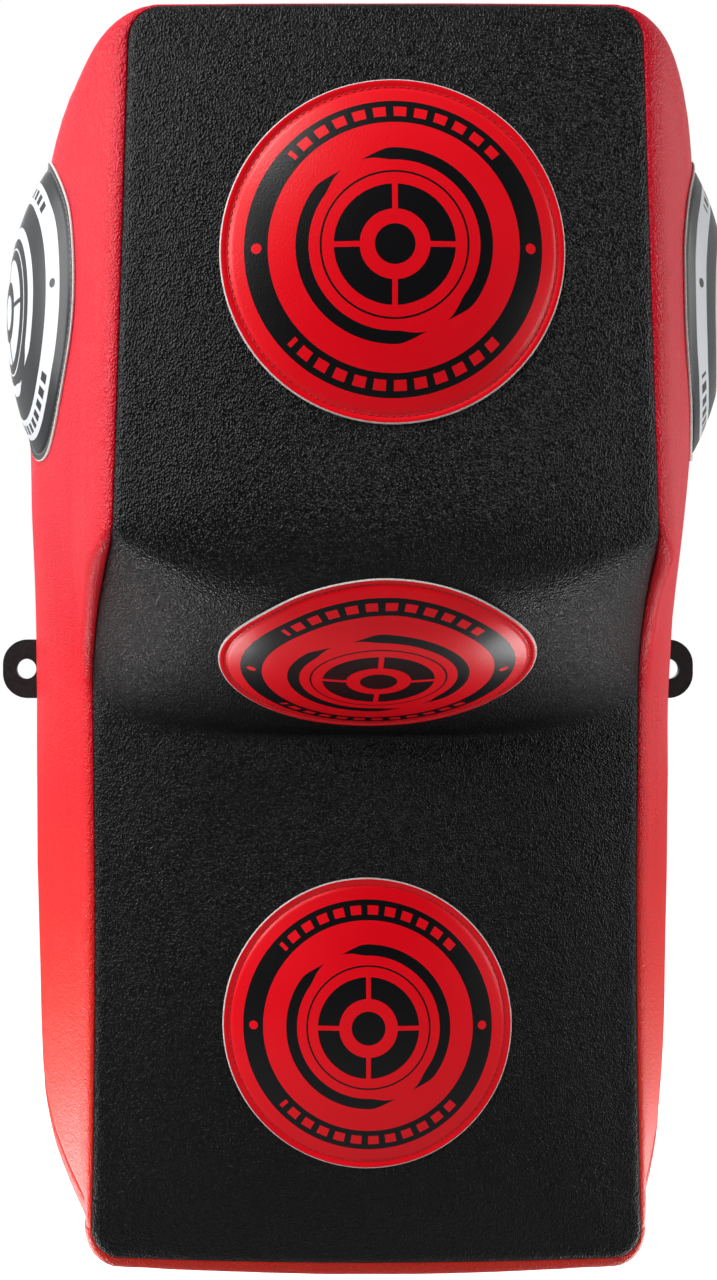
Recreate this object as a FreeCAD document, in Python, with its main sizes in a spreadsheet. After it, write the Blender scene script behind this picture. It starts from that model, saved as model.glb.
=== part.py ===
"""Wall-mounted boxing pad with a head, an undercut chin and a body, as a parametric FreeCAD document.

The wall is the plane Y = 0 and the pad stands out from it towards -Y. +Z is up, +X is to the right
as a boxer faces the pad, and the origin is the middle of the line of the two wall bolts.
"""
import FreeCAD, Part
import math
import os
import Sketcher
from FreeCAD import Placement, Rotation, Vector

doc = FreeCAD.newDocument("wall_boxing_pad")

# ---------------------------------------------------------------- driving dimensions, millimetres
DIMENSIONS = [
    # mounting bar
    ("bar_length", 588, "flat bar, end to end"),
    ("bar_height", 50, "flat bar, width of the strip"),
    ("bar_thick", 5, "flat bar, thickness"),
    ("bar_end_round", 21, "radius on the corners of both ears"),
    ("bolt_spacing", 548, "between the two wall bolt holes"),
    ("bolt_hole_dia", 17, "wall bolt hole"),
    # screws that hold the bar to the board
    ("screw_count", 4, "screws along the bar"),
    ("screw_pitch", 110, "between neighbouring screws"),
    ("screw_dia", 8, "shank of each countersunk screw"),
    ("screw_head_dia", 15, "countersunk head"),
    ("screw_head_depth", 4, "height of the countersunk cone"),
    ("screw_length", 25, "overall, head included"),
    ("thread_gap", 0.1, "added to the shank's diameter in each hole it passes"),
    ("tee_barrel_dia", 11, "tee nut barrel"),
    ("tee_barrel_length", 9, "tee nut barrel, from the flange"),
    ("tee_flange_dia", 22, "tee nut flange"),
    ("tee_flange_thick", 1.6, "tee nut flange"),
    # board
    ("board_thick", 15, "plywood"),
    ("board_clearance", 3, "between the board's edge and the inside of the cover"),
    # outline of the pad
    ("top_reach", 391, "bolt line to the top seam of the head"),
    ("bottom_reach", 404, "bolt line to the bottom seam of the body"),
    ("end_crown", 3, "how far the top and bottom swell beyond their front seams"),
    ("top_fall", 12, "how much lower the top is at the back than at the front"),
    ("bottom_rise", 28, "how much higher the bottom is at the back than at the front"),
    ("back_width", 520, "widest, near the wall"),
    ("rear_tuck", 8, "how far each side turns in at the rear edge"),
    ("rear_edge", 25, "from the back of the cover to the widest line"),
    ("head_depth", 338, "wall to the head's face at its seam"),
    ("head_width", 316, "head's face at the chin"),
    ("head_top_width", 296, "head's face at the top"),
    ("shoulder_flare", 29, "each side of the head widens this much behind the front seam"),
    ("shoulder_depth", 40, "and over this depth"),
    ("flank_lean", 18, "angle in degrees between the head's flank and the pad's centre plane"),
    ("body_depth", 190, "wall to the body's face at its seam"),
    ("body_width", 378, "body's face"),
    ("body_flare", 24, "each side of the body widens this much behind the front seam"),
    ("body_flare_depth", 28, "and over this depth"),
    ("body_flank", 88, "wall to the line where the body's flank straightens"),
    ("body_flank_width", 492, "width at that line"),
    ("chin_top", 81, "bolt line up to the head's lower edge"),
    ("chin_bottom", 19, "bolt line down to the body's upper edge"),
    ("front_corner", 22, "corner radius of the front seam"),
    ("back_corner", 72, "corner radius at the back"),
    # cover
    ("cover_thick", 1.6, "coated fabric"),
    ("front_lip", 4, "how far the front panel turns over the edge of the face"),
    # foam
    ("rear_foam", 70, "slab glued to the board"),
    ("impact_foam", 15, "softer layer under the struck faces"),
    # targets
    ("target_dia", 200, "stitched disc"),
    ("target_rim", 10, "width of the flat stitched rim"),
    ("target_skin", 2, "thickness of the disc"),
    ("target_dome", 13, "height of the foam dome under a front disc"),
    ("side_dome", 24, "height of the foam dome under a side disc"),
    ("flank_margin", 3, "flat flank left around a side disc"),
    ("head_target_up", 246, "bolt line to the centre of the head's disc"),
    ("head_target_over", 3, "centre plane to the centre of the head's disc"),
    ("side_target_up", 248, "bolt line to the centre of each side disc"),
    ("body_target_down", 242, "bolt line down to the centre of the body's disc"),
    ("chin_target_tall", 164, "height of the chin disc, measured straight along its slope"),
    # staples
    ("staple_crown", 12, "length of a staple's back"),
    ("staple_leg", 10, "length of a staple's legs"),
    ("staple_wire", 1, "thickness of a staple's wire"),
    ("staple_pitch", 40, "between neighbouring staples"),
    ("staple_inset", 22, "from the board's edge to the staples"),
]

sheet = doc.addObject("Spreadsheet::Sheet", "Sizes")
for row, (alias, value, note) in enumerate(DIMENSIONS, start=1):
    sheet.set(f"A{row}", alias)
    sheet.set(f"B{row}", str(value))
    sheet.setAlias(f"B{row}", alias)
    sheet.set(f"C{row}", note)
doc.recompute()


def dim(alias):
    """A driving dimension, read back from the spreadsheet."""
    return float(sheet.get(alias))


def cell(formula):
    """A formula over the spreadsheet's aliases, written out for setExpression."""
    words = formula.split()
    aliases = {alias for alias, _, _ in DIMENSIONS}
    return " ".join("Sizes." + word if word in aliases else word for word in words)


parts = []


def keep(obj, label):
    """Labels an object as one of the pad's pieces."""
    obj.Label = label
    parts.append(obj)
    return obj


def bind(obj, **formulas):
    """Ties an object's properties to formulas over the spreadsheet."""
    for name, formula in formulas.items():
        obj.setExpression(name, cell(formula))
    return obj


def place(obj, **formulas):
    """Ties an object's position to formulas, one for each of x, y and z."""
    for axis, formula in formulas.items():
        obj.setExpression(f"Placement.Base.{axis}", cell(formula))
    return obj


def block(name, width, depth, height, **position):
    """A box whose three sides and corner follow the spreadsheet."""
    box = doc.addObject("Part::Box", name)
    bind(box, Length=width, Width=depth, Height=height)
    return place(box, **position)


def rod(name, radius, length, **position):
    """A cylinder that runs from its position towards -Y."""
    bar = doc.addObject("Part::Cylinder", name)
    bar.Placement = Placement(Vector(), Rotation(Vector(1, 0, 0), 90))
    bind(bar, Radius=radius, Height=length)
    return place(bar, **position)


def combine(kind, name, pieces):
    """A boolean of several objects: MultiFuse or MultiCommon."""
    made = doc.addObject(f"Part::{kind}", name)
    made.Shapes = pieces
    return made


def cut(name, base, tool):
    """The base less the tool."""
    made = doc.addObject("Part::Cut", name)
    made.Base = base
    made.Tool = tool
    return made


def group(name, pieces):
    """Several separate solids that share one name."""
    made = doc.addObject("Part::Compound", name)
    made.Links = pieces
    return made


def solid(name, shape):
    """A document object that holds a shape made with Part's own functions."""
    made = doc.addObject("Part::Feature", name)
    made.Shape = shape
    return made


# ---------------------------------------------------------------- the pad's outer form
CHIN_STEPS = ((0, 0), (0.21, 0.42), (0.56, 0.83), (1, 1))  # share of the chin's height, of its depth
END_SHARES = (0.35, 0.8, 1)  # share of the fall, or rise, that the ends have made at the last three stations


def head_stations(front, side, back):
    """Half width and distance from the wall of the head's outline, from its front seam to the back."""
    flat = dim("target_dia") + 2 * dim("flank_margin")
    lean = math.radians(dim("flank_lean"))
    shoulder_half = dim("head_width") / 2 + dim("shoulder_flare")
    shoulder_out = dim("head_depth") - dim("shoulder_depth")
    rear_half = dim("back_width") / 2
    rear_out = dim("bar_thick") + dim("rear_edge")
    return [
        (dim("head_width") / 2 - side, dim("head_depth") - front),
        (shoulder_half - side, shoulder_out),
        (shoulder_half + flat * math.sin(lean) - side, shoulder_out - flat * math.cos(lean)),
        (rear_half - side, rear_out),
        (rear_half - dim("rear_tuck") - side, dim("bar_thick") + back),
    ]


def body_stations(front, side, back):
    """The same for the body's outline."""
    rear_half = dim("back_width") / 2
    rear_out = dim("bar_thick") + dim("rear_edge")
    return [
        (dim("body_width") / 2 - side, dim("body_depth") - front),
        (dim("body_width") / 2 + dim("body_flare") - side, dim("body_depth") - dim("body_flare_depth")),
        (dim("body_flank_width") / 2 - side, dim("body_flank")),
        (rear_half - side, rear_out),
        (rear_half - dim("rear_tuck") - side, dim("bar_thick") + back),
    ]


def corner_radius(out, front_out):
    """Corner radius of the pad's outline at a distance from the wall."""
    share = (front_out - out) / front_out
    return dim("front_corner") + (dim("back_corner") - dim("front_corner")) * share


def arch(half, root_half, out, root, reach, radius, way):
    """One section across the pad: straight sides up from root, rounded corners, flat end at reach.

    way is 1 for an end at the top and -1 for an end at the bottom.
    """
    y = -out
    slant = radius * (1 - math.sqrt(0.5))
    foot_left = Vector(-root_half, y, root)
    foot_right = Vector(root_half, y, root)
    side_left = Vector(-half, y, reach - way * radius)
    side_right = Vector(half, y, reach - way * radius)
    bend_left = Vector(-half + slant, y, reach - way * slant)
    bend_right = Vector(half - slant, y, reach - way * slant)
    end_left = Vector(-half + radius, y, reach)
    end_right = Vector(half - radius, y, reach)
    edges = [
        Part.LineSegment(foot_left, side_left),
        Part.Arc(side_left, bend_left, end_left),
        Part.LineSegment(end_left, end_right),
        Part.Arc(end_right, bend_right, side_right),
        Part.LineSegment(side_right, foot_right),
        Part.LineSegment(foot_right, foot_left),
    ]
    return Part.Wire([edge.toShape() for edge in edges])


def end_reaches(reach, change, end):
    """How far the top or bottom stands from the bolt line at each of the five stations."""
    crown = reach + dim("end_crown")
    return [reach - end, crown - end] + [crown - change * share - end for share in END_SHARES]


def form(front=0.0, side=0.0, end=0.0, back=0.0):
    """The pad's form, drawn in from its front, its sides, its top and bottom, and its back."""
    head = head_stations(front, side, back)
    body = body_stations(front, side, back)
    chin_top = dim("chin_top") + front
    chin_bottom = -dim("chin_bottom") + front
    head_top_half = dim("head_top_width") / 2 - side
    drawn_in = min(side, end)

    sections = []
    for index, (half, out) in enumerate(head):
        top_half = head_top_half if index == 0 else half
        reach = end_reaches(dim("top_reach"), dim("top_fall"), end)[index]
        radius = corner_radius(head[index][1], dim("head_depth")) - drawn_in
        sections.append(arch(top_half, half, out, chin_top, reach, radius, 1))
    head_solid = Part.makeLoft(sections, True, True)

    sections = []
    for index, (half, out) in enumerate(body):
        reach = end_reaches(dim("bottom_reach"), dim("bottom_rise"), end)[index]
        radius = corner_radius(body[index][1], dim("body_depth")) - drawn_in
        sections.append(arch(half, half, out, chin_bottom, -reach, radius, -1))
    body_solid = Part.makeLoft(sections, True, True)

    sections = []
    for drop, share in CHIN_STEPS:
        level = chin_top + (chin_bottom - chin_top) * drop
        outline = [
            (a[0] + (b[0] - a[0]) * share, a[1] + (b[1] - a[1]) * share) for a, b in zip(head, body)
        ]
        left = [Vector(-half, -out, level) for half, out in outline]
        right = [Vector(half, -out, level) for half, out in reversed(outline)]
        sections.append(Part.makePolygon(left + right + left[:1]))
    chin_solid = Part.makeLoft(sections, True, True)
    return head_solid.fuse([chin_solid, body_solid]).removeSplitter()


skin = dim("cover_thick")
whole = solid("whole_form", form())
inside = solid("form_inside", form(front=skin, side=skin, end=skin, back=skin))

# ---------------------------------------------------------------- cover
REACH = 1000  # larger than the pad, for the blocks that divide it
BEYOND = f"{REACH}"
BEFORE = f"- {REACH}"
ACROSS = f"{2 * REACH}"


def front_zone():
    """Everything in front of the seam between the front panel and the sides."""
    lip = dim("front_lip")
    head_out, body_out = dim("head_depth"), dim("body_depth")
    top, bottom = dim("chin_top"), -dim("chin_bottom")
    seam = [Vector(-REACH, -head_out + lip, REACH)]
    for drop, share in CHIN_STEPS:
        out = head_out + (body_out - head_out) * share - lip
        seam.append(Vector(-REACH, -out, top + (bottom - top) * drop + lip))
    seam.append(Vector(-REACH, -body_out + lip, -REACH))
    outline = [Vector(-REACH, -REACH, -REACH), Vector(-REACH, -REACH, REACH)] + seam
    face = Part.Face(Part.makePolygon(outline + outline[:1]))
    return face.extrude(Vector(2 * REACH, 0, 0))


def end_zone(way, front_out, front_level, back_level):
    """Everything beyond the seam between the sides and the top, or the bottom where way is -1."""
    slope = (back_level - front_level) / (front_out - dim("bar_thick"))
    level_at_wall = back_level + slope * dim("bar_thick")
    near = Vector(-REACH, 0, level_at_wall)
    far = Vector(-REACH, -REACH, level_at_wall - slope * REACH)
    limit = way * REACH
    outline = [near, far, Vector(-REACH, -REACH, limit), Vector(-REACH, 0, limit), near]
    return Part.Face(Part.makePolygon(outline)).extrude(Vector(2 * REACH, 0, 0))


top_seam = (
    dim("top_reach") - dim("front_corner"),
    dim("top_reach") + dim("end_crown") - dim("top_fall") - dim("back_corner"),
)
bottom_seam = (
    -dim("bottom_reach") + dim("front_corner"),
    -dim("bottom_reach") - dim("end_crown") + dim("bottom_rise") + dim("back_corner"),
)
in_front = solid("in_front", front_zone())
above = solid("above_sides", end_zone(1, dim("head_depth"), *top_seam))
below = solid("below_sides", end_zone(-1, dim("body_depth"), *bottom_seam))
wall_side = "- bar_thick - cover_thick"
at_back = block("at_back", ACROSS, "cover_thick", ACROSS, x=BEFORE, y=wall_side, z=BEFORE)
left_half = block("left_half", BEYOND, BEYOND, ACROSS, x=BEFORE, y=BEFORE, z=BEFORE)
right_half = block("right_half", BEYOND, BEYOND, ACROSS, y=BEFORE, z=BEFORE)

shell = cut("shell", whole, inside)
keep(combine("MultiCommon", "front_common", [shell, in_front]), "front_panel")
plain_back = combine("MultiCommon", "plain_back", [shell, at_back])
gusset = cut("gusset", shell, combine("MultiFuse", "front_and_back", [in_front, at_back]))
keep(combine("MultiCommon", "top_common", [gusset, above]), "top_panel")
keep(combine("MultiCommon", "bottom_common", [gusset, below]), "bottom_panel")
flanks = cut("flanks", gusset, combine("MultiFuse", "end_blocks", [above, below]))
keep(combine("MultiCommon", "left_common", [flanks, left_half]), "left_side_panel")
keep(combine("MultiCommon", "right_common", [flanks, right_half]), "right_side_panel")

# ---------------------------------------------------------------- mounting bar and its screws
BOARD_BACK = "- bar_thick - cover_thick"
BOARD_FRONT = "- bar_thick - cover_thick - board_thick"
SCREWS = range(int(dim("screw_count")))
DRAFT_WIDTH, DRAFT_HEIGHT = 100, 40  # a sketch's sides before its constraints follow the spreadsheet


def screw_place(index):
    """Formula for the X of one screw."""
    return f"( {index} - ( screw_count - 1 ) / 2 ) * screw_pitch"


def plate(name, width, height, thick, corner):
    """A PartDesign plate with rounded corners in the XZ plane, centred on Z, its back on Y = 0."""
    body = doc.addObject("PartDesign::Body", name)
    sketch = body.newObject("Sketcher::SketchObject", name + "_outline")
    plane = [f for f in body.Origin.OriginFeatures if f.Role == "XZ_Plane"][0]
    sketch.AttachmentSupport = (plane, [""])
    sketch.MapMode = "FlatFace"
    signs = ((-1, -1), (1, -1), (1, 1), (-1, 1))
    corners = [Vector(across * DRAFT_WIDTH / 2, up * DRAFT_HEIGHT / 2, 0) for across, up in signs]
    for start, end in zip(corners, corners[1:] + corners[:1]):
        sketch.addGeometry(Part.LineSegment(start, end))
    for edge in range(4):
        sketch.addConstraint(Sketcher.Constraint("Coincident", edge, 2, (edge + 1) % 4, 1))
    for edge in (0, 2):
        sketch.addConstraint(Sketcher.Constraint("Horizontal", edge))
        sketch.addConstraint(Sketcher.Constraint("Vertical", edge + 1))
    sketch.addConstraint(Sketcher.Constraint("Symmetric", 0, 1, 2, 1, -1, 1))
    wide = sketch.addConstraint(Sketcher.Constraint("DistanceX", 0, 1, 0, 2, DRAFT_WIDTH))
    tall = sketch.addConstraint(Sketcher.Constraint("DistanceY", 1, 1, 1, 2, DRAFT_HEIGHT))
    sketch.setExpression(f"Constraints[{wide}]", cell(width))
    sketch.setExpression(f"Constraints[{tall}]", cell(height))
    pad = body.newObject("PartDesign::Pad", name + "_pad")
    pad.Profile = sketch
    pad.setExpression("Length", cell(thick))
    doc.recompute()
    upright = [
        f"Edge{number}"
        for number, edge in enumerate(pad.Shape.Edges, start=1)
        if edge.BoundBox.YLength > edge.BoundBox.XLength + edge.BoundBox.ZLength
    ]
    rounded = body.newObject("PartDesign::Fillet", name + "_corners")
    rounded.Base = (pad, upright)
    rounded.setExpression("Radius", cell(corner))
    body.Tip = rounded
    return body


def countersunk_screw(index):
    """One screw: a cone flush with the bar's back and a shank that runs into the board."""
    x = screw_place(index)
    head = doc.addObject("Part::Cone", f"screw_head_{index}")
    head.Placement = Placement(Vector(), Rotation(Vector(1, 0, 0), 90))
    bind(head, Radius1="screw_head_dia / 2", Radius2="screw_dia / 2", Height="screw_head_depth")
    place(head, x=x)
    shank = rod(f"screw_shank_{index}", "screw_dia / 2", "screw_length", x=x)
    return combine("MultiFuse", f"screw_{index}", [head, shank])


def tee_nut(index):
    """One tee nut: a flange on the board's front and a barrel inside the board."""
    x = screw_place(index)
    barrel_back = BOARD_FRONT + " + tee_barrel_length"
    barrel = rod(f"tee_barrel_{index}", "tee_barrel_dia / 2", "tee_barrel_length", x=x, y=barrel_back)
    flange = rod(f"tee_flange_{index}", "tee_flange_dia / 2", "tee_flange_thick", x=x, y=BOARD_FRONT)
    thread = rod(f"tee_thread_{index}", "( screw_dia + thread_gap ) / 2", "screw_length + screw_dia", x=x)
    outside = combine("MultiFuse", f"tee_outside_{index}", [barrel, flange])
    return cut(f"tee_nut_{index}", outside, thread)


screws = [countersunk_screw(index) for index in SCREWS]
tee_nuts = [tee_nut(index) for index in SCREWS]
screw_holes = [
    rod(f"screw_hole_{i}", "( screw_dia + thread_gap ) / 2", "screw_length", x=screw_place(i)) for i in SCREWS
]
bolt_holes = [
    rod("left_bolt_hole", "bolt_hole_dia / 2", "bar_thick", x="- bolt_spacing / 2"),
    rod("right_bolt_hole", "bolt_hole_dia / 2", "bar_thick", x="bolt_spacing / 2"),
]
bar_blank = plate("bar_blank", "bar_length", "bar_height", "bar_thick", "bar_end_round")
bar_holes = combine("MultiFuse", "bar_holes", bolt_holes + screw_holes + screws)
keep(cut("bar_cut", bar_blank, bar_holes), "mounting_bar")
keep(group("screw_group", screws), "bar_screws")
keep(group("tee_nut_group", tee_nuts), "tee_nuts")

# ---------------------------------------------------------------- back panel and board
keep(cut("back_panel_cut", plain_back, combine("MultiFuse", "panel_holes", screw_holes)), "back_panel")

BOARD_EDGE = "rear_tuck + cover_thick + board_clearance"
top_edge = "( top_reach + end_crown - top_fall - cover_thick - board_clearance )"
bottom_edge = "( bottom_reach + end_crown - bottom_rise - cover_thick - board_clearance )"
board_blank = plate(
    "board_blank",
    f"back_width - 2 * ( {BOARD_EDGE} )",
    f"{top_edge} + {bottom_edge}",
    "board_thick",
    "back_corner",
)
place(board_blank, y=BOARD_BACK, z=f"( {top_edge} - {bottom_edge} ) / 2")
barrels = [doc.getObject(f"tee_barrel_{index}") for index in SCREWS]
board_holes = combine("MultiFuse", "board_holes", screw_holes + barrels)
keep(cut("board_cut", board_blank, board_holes), "back_board")


def staple_spots():
    """Where the staples go on the back panel: X, Z and whether the staple lies upright."""
    half = board_blank.Shape.BoundBox.XLength / 2 - dim("staple_inset")
    box = board_blank.Shape.BoundBox
    high, low = box.ZMax - dim("staple_inset"), box.ZMin + dim("staple_inset")
    run_x = half - dim("back_corner")
    run_z = (high - low) / 2 - dim("back_corner")
    middle = (high + low) / 2
    spots = []
    across = int(run_x // dim("staple_pitch"))
    for step in range(-across, across + 1):
        spots.append((step * dim("staple_pitch"), high, False))
        spots.append((step * dim("staple_pitch"), low, False))
    along = int(run_z // dim("staple_pitch"))
    for step in range(-along, along + 1):
        z = middle + step * dim("staple_pitch")
        if abs(z) > dim("bar_height") / 2 + dim("staple_crown"):
            spots.append((-half, z, True))
            spots.append((half, z, True))
    return spots


def staple(x, z, upright):
    """One staple, its back on the back panel and its legs in the board."""
    crown, leg, wire = dim("staple_crown"), dim("staple_leg"), dim("staple_wire")
    y = -dim("bar_thick")
    back = Part.makeBox(crown, wire, wire, Vector(-crown / 2, 0, -wire / 2))
    left = Part.makeBox(wire, leg, wire, Vector(-crown / 2, -leg, -wire / 2))
    right = Part.makeBox(wire, leg, wire, Vector(crown / 2 - wire, -leg, -wire / 2))
    made = back.fuse([left, right])
    if upright:
        made.rotate(Vector(), Vector(0, 1, 0), 90)
    made.translate(Vector(x, y, z))
    return made


doc.recompute()
keep(solid("staple_group", Part.Compound([staple(*spot) for spot in staple_spots()])), "staples")

# ---------------------------------------------------------------- foam
POCKET_GAP = 1  # round each tee nut's flange, in the foam
rear_front = f"{BOARD_FRONT} - rear_foam"
body_layer = "- body_depth + cover_thick + impact_foam"
head_layer = "- head_depth + cover_thick + impact_foam"


def foam(label, back, front, low, high):
    """The part of the inside form between two distances from the wall and two levels."""
    depth = f"( {back} ) - ( {front} )"
    tall = f"( {high} ) - ( {low} )"
    box = block(label + "_block", ACROSS, depth, tall, x=BEFORE, y=front, z=low)
    return combine("MultiCommon", label + "_common", [inside, box])


rear_slab = foam("rear_slab", BOARD_FRONT, rear_front, BEFORE, BEYOND)
POCKET_RADIUS = f"tee_flange_dia / 2 + {POCKET_GAP}"
pockets = [
    rod(f"pocket_{i}", POCKET_RADIUS, "bar_thick + screw_length", x=screw_place(i)) for i in SCREWS
]
keep(cut("rear_slab_cut", rear_slab, combine("MultiFuse", "pockets", pockets)), "rear_foam_slab")
keep(foam("body_core", rear_front, body_layer, BEFORE, "- chin_bottom"), "body_foam_block")
keep(foam("head_core", rear_front, head_layer, "chin_top", BEYOND), "head_foam_block")
keep(foam("chin_core", rear_front, BEFORE, "- chin_bottom", "chin_top"), "chin_foam_block")
keep(foam("body_layer", body_layer, BEFORE, BEFORE, "- chin_bottom"), "body_impact_layer")
keep(foam("head_layer", head_layer, BEFORE, "chin_top", BEYOND), "head_impact_layer")

# ---------------------------------------------------------------- targets
PAD_HALF = "( target_dia / 2 - target_rim )"
SEAM = 3  # the skin's dome is this much wider at its foot than the foam under it
TO_FRONT = Rotation(Vector(1, 0, 0), 90)
FOOT_SHARE = 0.25  # the chin disc's foot reaches this share of its height into the slope


def cap(name, half, rise):
    """A dome on Z = 0 with a base of that radius and a top at that height."""
    radius = f"( ( {half} ) ^ 2 + ( {rise} ) ^ 2 ) / ( 2 * ( {rise} ) )"
    ball = doc.addObject("Part::Sphere", name + "_ball")
    bind(ball, Radius=radius)
    place(ball, z=f"( {rise} ) - ( {radius} )")
    post = doc.addObject("Part::Cylinder", name + "_post")
    bind(post, Radius=half, Height=rise)
    return combine("MultiCommon", name, [ball, post])


def target(label, dome, turn, **position):
    """A foam dome and the stitched disc over it, facing the way that the turn gives."""
    hollow = cap(label + "_hollow", PAD_HALF, dome)
    dome_skin = cap(label + "_dome", f"{PAD_HALF} + {SEAM}", f"{dome} + target_skin")
    rim = doc.addObject("Part::Cylinder", label + "_rim")
    bind(rim, Radius="target_dia / 2", Height="target_skin")
    outside = combine("MultiFuse", label + "_outside", [dome_skin, rim])
    disc = cut(label + "_disc", outside, hollow)
    pad = cap(label + "_foam", PAD_HALF, dome)
    for obj, name in ((disc, label), (pad, label + "_pad")):
        obj.Placement = Placement(Vector(), turn)
        place(obj, **position)
        keep(obj, name)


def side_target(label, way):
    """The target on one flank of the head. way is -1 for the left and 1 for the right."""
    lean = math.radians(dim("flank_lean"))
    outward = Vector(way * math.cos(lean), -math.sin(lean), 0)
    half_flat = "( target_dia / 2 + flank_margin )"
    out = f"head_width / 2 + shoulder_flare + {half_flat} * sin( flank_lean * 1 deg )"
    depth = f"head_depth - shoulder_depth - {half_flat} * cos( flank_lean * 1 deg )"
    turn = Rotation(Vector(0, 0, 1), outward)
    target(label, "side_dome", turn, x=f"{way} * ( {out} )", y=f"- ( {depth} )", z="side_target_up")


def chin_prism(half_width, half_tall, low, high):
    """An elliptical prism square to the chin's slope, between two heights above that slope."""
    ellipse = Part.Ellipse(Vector(), half_width, half_tall)
    face = Part.Face(Part.Wire([ellipse.toShape()]))
    face.translate(Vector(0, 0, low))
    return face.extrude(Vector(0, 0, high - low))


def chin_shape(half_width, half_tall, rise):
    """A domed oval on the chin's slope, with a foot that reaches down into the chin's hollow."""
    radius = (half_tall ** 2 + rise ** 2) / (2 * rise)
    ball = Part.makeSphere(radius, Vector(0, 0, rise - radius))
    stretch = FreeCAD.Matrix()
    stretch.scale(half_width / half_tall, 1, 1)
    dome = ball.transformGeometry(stretch).common(chin_prism(half_width, half_tall, 0, rise))
    foot = chin_prism(half_width, half_tall, -dim("chin_target_tall") * FOOT_SHARE, 0)
    made = dome.fuse(foot)
    made.rotate(Vector(), Vector(1, 0, 0), 90 + chin_angle)
    made.translate(chin_middle)
    return made


chin_run = dim("head_depth") - dim("body_depth")
chin_fall = dim("chin_top") + dim("chin_bottom")
chin_angle = math.degrees(math.atan2(chin_run, chin_fall))
chin_middle = Vector(
    0,
    -(dim("head_depth") + dim("body_depth")) / 2,
    (dim("chin_top") - dim("chin_bottom")) / 2,
)
chin_half = dim("chin_target_tall") / 2
under_skin = dim("target_skin")
chin_outside = chin_shape(dim("target_dia") / 2, chin_half, dim("target_dome") + under_skin)
chin_inside = chin_shape(dim("target_dia") / 2 - under_skin, chin_half - under_skin, dim("target_dome"))
pad_blank = solid("chin_pad_blank", chin_inside)
skin_blank = solid("chin_skin_blank", chin_outside.cut(chin_inside))

target("head_target", "target_dome", TO_FRONT, x="head_target_over", y="- head_depth", z="head_target_up")
keep(cut("chin_skin_cut", skin_blank, whole), "chin_target")
keep(cut("chin_pad_cut", pad_blank, whole), "chin_target_pad")
target("body_target", "target_dome", TO_FRONT, y="- body_depth", z="- body_target_down")
side_target("left_head_target", -1)
side_target("right_head_target", 1)


# ---------------------------------------------------------------- checks and files
def check_and_write():
    """Stops on a failed object, then writes each piece to its own file."""
    doc.recompute()
    for obj in doc.Objects:
        if {"Invalid", "Error"} & set(obj.State):
            raise RuntimeError(f"{obj.Label} did not build: {obj.State}")
    os.makedirs("parts", exist_ok=True)
    for piece in parts:
        shape = piece.Shape
        if shape.isNull() or not shape.isValid() or not shape.Solids:
            raise RuntimeError(f"{piece.Label} has no sound shape")
        shape.exportStep(f"parts/{piece.Label}.step")
        print(f"{piece.Label}: {len(shape.Solids)} solid(s), {shape.Volume / 1000:.1f} cm3")


check_and_write()
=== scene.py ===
"""Looks of the wall-mounted boxing pad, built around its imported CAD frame.

Metres. +Z is up, the wall is the plane Y = 0 and the pad stands out from it towards -Y. "Out" is a
distance from the wall, so a point's Y is minus its out. +X is to the right of someone facing the pad.
"""
import math

import bmesh
import bpy
import numpy as np
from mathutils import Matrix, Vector, noise
from mathutils.bvhtree import BVHTree
from mathutils.kdtree import KDTree


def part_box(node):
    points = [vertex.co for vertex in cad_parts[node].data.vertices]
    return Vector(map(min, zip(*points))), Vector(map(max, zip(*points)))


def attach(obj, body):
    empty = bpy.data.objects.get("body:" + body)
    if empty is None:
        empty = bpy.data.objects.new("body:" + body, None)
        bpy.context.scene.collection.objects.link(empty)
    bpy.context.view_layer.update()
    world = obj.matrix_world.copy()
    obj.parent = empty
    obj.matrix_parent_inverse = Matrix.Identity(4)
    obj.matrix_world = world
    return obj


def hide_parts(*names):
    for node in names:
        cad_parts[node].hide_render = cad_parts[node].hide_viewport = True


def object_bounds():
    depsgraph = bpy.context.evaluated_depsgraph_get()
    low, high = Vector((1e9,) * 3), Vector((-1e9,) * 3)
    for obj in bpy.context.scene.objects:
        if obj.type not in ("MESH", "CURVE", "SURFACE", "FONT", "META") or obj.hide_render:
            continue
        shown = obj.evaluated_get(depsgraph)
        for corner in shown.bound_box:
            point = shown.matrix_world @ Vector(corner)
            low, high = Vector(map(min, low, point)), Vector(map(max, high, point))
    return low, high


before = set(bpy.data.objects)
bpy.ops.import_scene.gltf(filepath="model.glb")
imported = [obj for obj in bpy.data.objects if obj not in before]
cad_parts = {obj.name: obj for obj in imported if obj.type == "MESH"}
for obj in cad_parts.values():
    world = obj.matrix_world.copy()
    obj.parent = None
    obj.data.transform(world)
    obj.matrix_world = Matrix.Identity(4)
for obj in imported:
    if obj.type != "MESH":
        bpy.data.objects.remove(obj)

cad_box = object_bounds()

# ------------------------ sizes
face_low, face_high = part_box("front_panel")
side_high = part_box("right_side_panel")[1]
bar_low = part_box("mounting_bar")[0]
slab_low, slab_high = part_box("rear_foam_slab")
chin_block_low, chin_block_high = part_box("chin_foam_block")
body_layer_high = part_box("body_impact_layer")[1]
head_layer_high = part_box("head_impact_layer")[1]

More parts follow.
